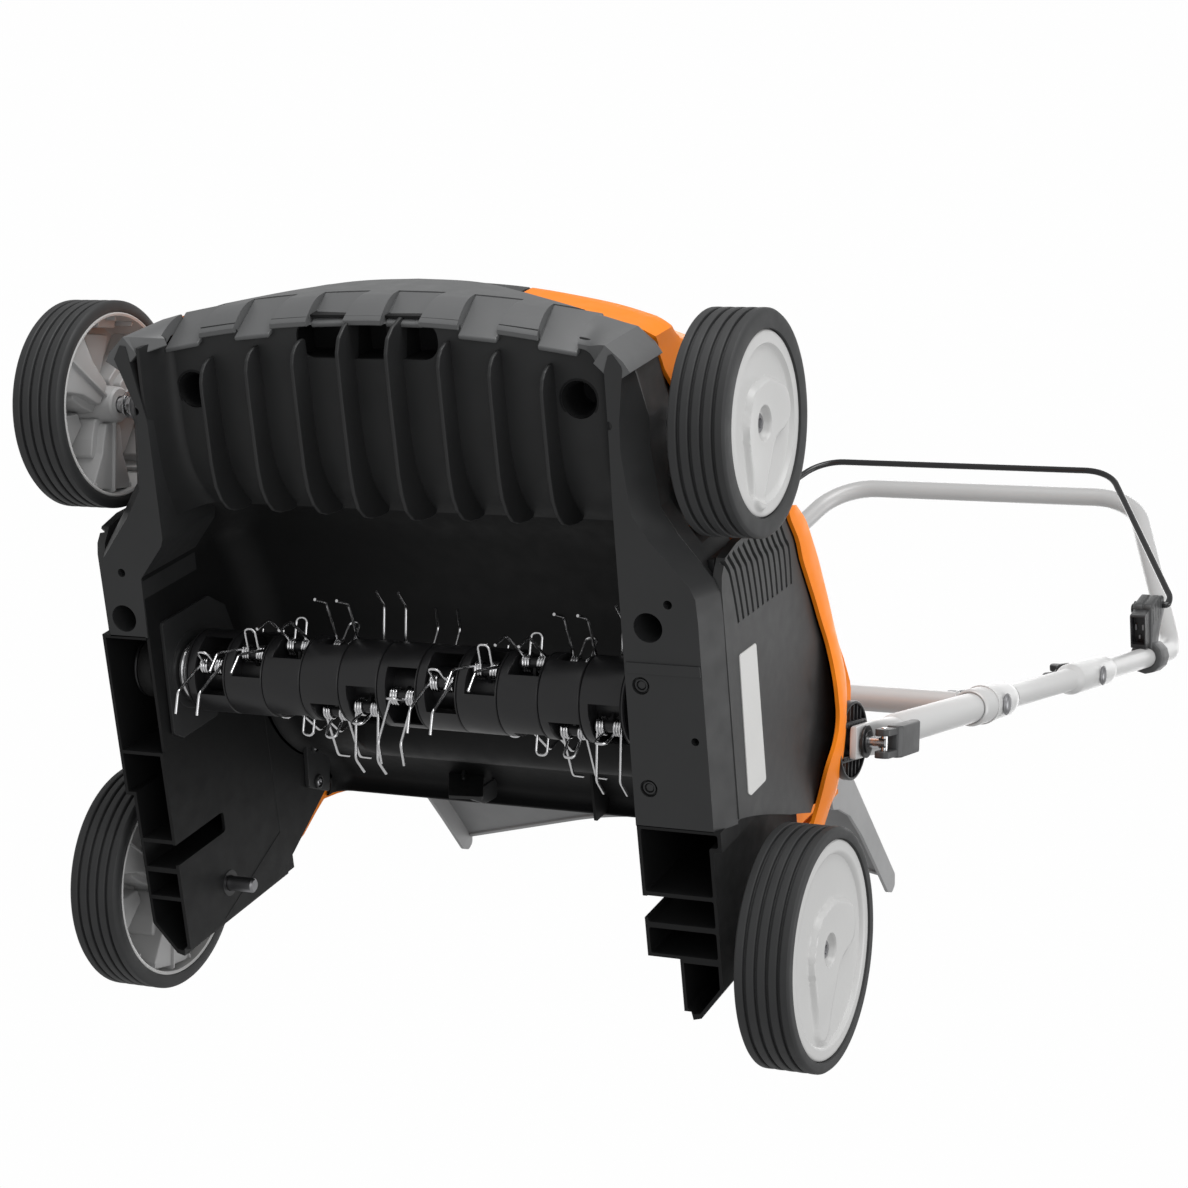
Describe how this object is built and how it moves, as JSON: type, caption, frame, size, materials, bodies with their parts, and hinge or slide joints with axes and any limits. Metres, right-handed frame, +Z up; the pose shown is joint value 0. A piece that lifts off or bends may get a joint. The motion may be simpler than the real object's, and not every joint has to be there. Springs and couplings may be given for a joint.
{
  "type": "electric lawn scarifier",
  "caption": "Walk-behind electric lawn scarifier: spring-tine rotor under a moulded deck, cranked depth axle, four wheels, hinged rear flap and folding tubular handle with bail switch.",
  "frame": {"origin": "on the ground under the middle of the machine's bounding box, machine standing on its four wheels", "axes": "+Z up, -Y towards the machine's front, +Y towards the raised flap, +X to the right as seen from the front, X = 0 midway between the wheels"},
  "size_m": [0.577, 0.6211, 1.3751],
  "materials": {
    "deck_plastic": "fine-grained charcoal moulding",
    "strip_plastic": "slightly lighter grey moulding",
    "hood_plastic": "satin orange",
    "plate_plastic": "blank light plate",
    "steel": "zinc plated",
    "black_plastic": "black moulding",
    "belt_rubber": "matt",
    "tyre_rubber": "black, ribbed tread",
    "hub_plastic": "light warm grey moulding",
    "spring_steel": "bright wire",
    "armature_metal": "wound copper",
    "flap_plastic": "mid grey moulding",
    "handle_tube": "silver paint",
    "bail_wire": "black coated wire"
  },
  "bodies": {
    "chassis": {"chassis_housing": "deck_plastic", "front_strip": "strip_plastic", "hood": "hood_plastic", "motor_cover": "deck_plastic", "side_cover_left": "deck_plastic", "side_cover_right": "deck_plastic", "blank_plate": "plate_plastic", "rear_axle_left": "steel", "rear_axle_right": "steel", "bearing_plate": "black_plastic", "motor_can": "steel", "drive_belt": "belt_rubber", "rosette_left": "black_plastic", "rosette_right": "black_plastic"},
    "depth_axle": {"front_axle": "steel", "depth_lever_grip": "black_plastic"},
    "wheel_rear_right": {"tyre_rear_right": "tyre_rubber", "hub_rear_right": "hub_plastic"},
    "wheel_rear_left": {"tyre_rear_left": "tyre_rubber", "hub_rear_left": "hub_plastic"},
    "wheel_front_right": {"tyre_front_right": "tyre_rubber", "hub_front_right": "hub_plastic"},
    "wheel_front_left": {"tyre_front_left": "tyre_rubber", "hub_front_left": "hub_plastic"},
    "rotor": {"rotor_core": "spring_steel", "rotor_drum": "black_plastic", "rotor_pulley": "black_plastic", "rotor_bearing_ring": "steel"},
    "motor": {"motor_armature": "armature_metal", "motor_fan": "black_plastic", "motor_pulley": "black_plastic"},
    "flap": {"rear_flap": "flap_plastic"},
    "handle": {"lower_leg_left": "handle_tube", "lower_leg_right": "handle_tube", "cross_bow": "handle_tube", "mid_tube_left": "handle_tube", "mid_tube_right": "handle_tube", "upper_loop": "handle_tube", "bolt_low_left": "steel", "bolt_low_right": "steel", "bolt_high_left": "steel", "bolt_high_right": "steel", "quick_bolt_left": "steel", "quick_bolt_right": "steel", "switch_box": "black_plastic", "bail_bracket": "black_plastic", "mains_inlet": "black_plastic"},
    "release_left": {"quick_lever_left": "black_plastic"},
    "release_right": {"quick_lever_right": "black_plastic"},
    "knob_low_left": {"wing_knob_low_left": "black_plastic"},
    "knob_low_right": {"wing_knob_low_right": "black_plastic"},
    "knob_high_left": {"wing_knob_high_left": "black_plastic"},
    "knob_high_right": {"wing_knob_high_right": "black_plastic"},
    "bail": {"bail": "bail_wire"},
    "button": {"safety_button": "black_plastic"}
  },
  "joints": [
    {"name": "depth_setting", "type": "hinge", "parent": "chassis", "child": "depth_axle", "pos_m": [0, -0.1715, 0.0933], "axis": [1, 0, 0], "range_deg": [-12, 0]},
    {"name": "wheel_rear_right_spin", "type": "hinge", "parent": "chassis", "child": "wheel_rear_right", "pos_m": [0.264, 0.1461, 0.0845], "axis": [1, 0, 0], "continuous": true},
    {"name": "wheel_rear_left_spin", "type": "hinge", "parent": "chassis", "child": "wheel_rear_left", "pos_m": [-0.264, 0.1461, 0.0845], "axis": [1, 0, 0], "continuous": true},
    {"name": "wheel_front_right_spin", "type": "hinge", "parent": "depth_axle", "child": "wheel_front_right", "pos_m": [0.248, -0.2279, 0.0741], "axis": [1, 0, 0], "continuous": true},
    {"name": "wheel_front_left_spin", "type": "hinge", "parent": "depth_axle", "child": "wheel_front_left", "pos_m": [-0.248, -0.2279, 0.0741], "axis": [1, 0, 0], "continuous": true},
    {"name": "motor_spin", "type": "hinge", "parent": "chassis", "child": "motor", "pos_m": [0, 0.0211, 0.24], "axis": [1, 0, 0], "continuous": true},
    {"name": "rotor_spin", "type": "hinge", "parent": "chassis", "child": "rotor", "pos_m": [0, -0.0319, 0.069], "axis": [1, 0, 0], "continuous": true},
    {"name": "flap_hinge", "type": "hinge", "parent": "chassis", "child": "flap", "pos_m": [0, 0.0961, 0.34], "axis": [1, 0, 0], "range_deg": [-95, 0]},
    {"name": "handle_tilt", "type": "hinge", "parent": "chassis", "child": "handle", "pos_m": [0, 0.0481, 0.222], "axis": [1, 0, 0], "range_deg": [-20, 98]},
    {"name": "quick_release_right", "type": "hinge", "parent": "handle", "child": "release_right", "pos_m": [0.2795, 0.0481, 0.222], "axis": [0, 0.9627, -0.2705], "range_deg": [0, 100]},
    {"name": "quick_release_left", "type": "hinge", "parent": "handle", "child": "release_left", "pos_m": [-0.2795, 0.0481, 0.222], "axis": [0, -0.9627, 0.2705], "range_deg": [0, 100]},
    {"name": "knob_low_right_turn", "type": "hinge", "parent": "handle", "child": "knob_low_right", "pos_m": [0.263, 0.12976, 0.5186], "axis": [1, 0, 0], "continuous": true},
    {"name": "knob_low_left_turn", "type": "hinge", "parent": "handle", "child": "knob_low_left", "pos_m": [-0.263, 0.12976, 0.5186], "axis": [1, 0, 0], "continuous": true},
    {"name": "knob_high_right_turn", "type": "hinge", "parent": "handle", "child": "knob_high_right", "pos_m": [0.263, 0.21361, 0.817], "axis": [1, 0, 0], "continuous": true},
    {"name": "knob_high_left_turn", "type": "hinge", "parent": "handle", "child": "knob_high_left", "pos_m": [-0.263, 0.21361, 0.817], "axis": [1, 0, 0], "continuous": true},
    {"name": "bail_pull", "type": "hinge", "parent": "handle", "child": "bail", "pos_m": [0, 0.2341, 1.078], "axis": [1, 0, 0], "range_deg": [-20, 0], "stiffness_Nm_per_rad": 1.5, "springref_deg": 34.38},
    {"name": "button_press", "type": "slide", "parent": "handle", "child": "button", "axis": [1, 0, 0], "range_m": [0, 0.0018], "stiffness_N_per_m": 200, "springref_m": -0.003}
  ],
  "couplings": [
    {"joint": "rotor_spin", "follows": "motor_spin", "ratio": 0.5}
  ]
}
